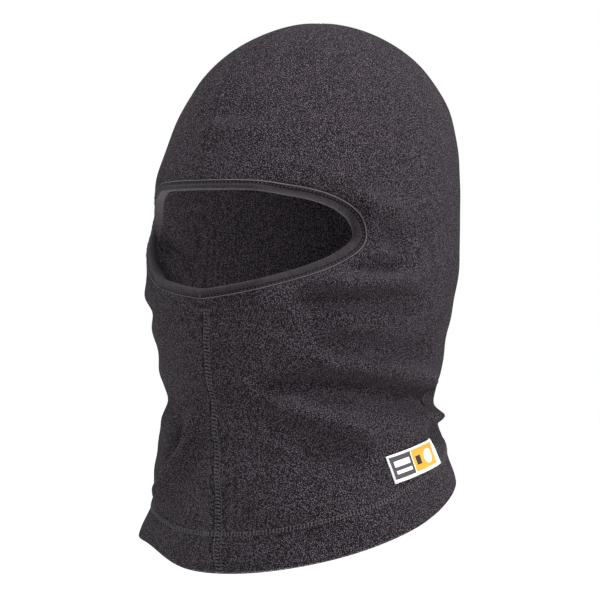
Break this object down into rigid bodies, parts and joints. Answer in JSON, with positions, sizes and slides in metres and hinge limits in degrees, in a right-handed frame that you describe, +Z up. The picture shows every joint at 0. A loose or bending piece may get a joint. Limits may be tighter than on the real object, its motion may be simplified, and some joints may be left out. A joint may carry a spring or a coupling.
{
  "type": "balaclava",
  "caption": "Open-face fleece balaclava in its worn shape, sewn from mirrored side panels, with a bound face opening, a turned and stitched hem, a woven side label and a care tag.",
  "frame": {"origin": "the centre of the wearer's head, on the centre plane, level with the middle of the face opening", "axes": "+Z up along the standing wearer, the face towards -Y, +X to the wearer's left"},
  "size_m": [0.1802, 0.1976, 0.3072],
  "materials": {
    "fleece": "charcoal microfleece, short pebbled pile",
    "binding": "smooth stretch jersey binding",
    "thread": "textured polyester sewing thread",
    "woven_label": "satin woven label, grey and amber halves, white edge",
    "label_thread": "white sewing thread",
    "care_label": "plain printed satin tape, off-white"
  },
  "bodies": {
    "hood": {"left_panel": "fleece", "right_panel": "fleece", "front_seam_overlock": "thread", "crown_seam_overlock": "thread", "front_topstitch_needle_thread": "thread", "front_topstitch_looper_thread": "thread", "face_binding": "binding", "binding_join_tack": "thread", "binding_needle_thread": "thread", "binding_looper_thread": "thread", "hem_needle_thread": "thread", "hem_looper_thread": "thread", "logo_label": "woven_label", "logo_label_thread": "label_thread"},
    "care_tag": {"care_label": "care_label", "care_label_thread": "label_thread"}
  },
  "joints": [
    {"name": "care_tag_flap", "type": "hinge", "parent": "hood", "child": "care_tag", "pos_m": [0.02587, 0.07107, -0.07505], "axis": [-0.9397, 0.342, 0], "range_deg": [0, 140]}
  ]
}
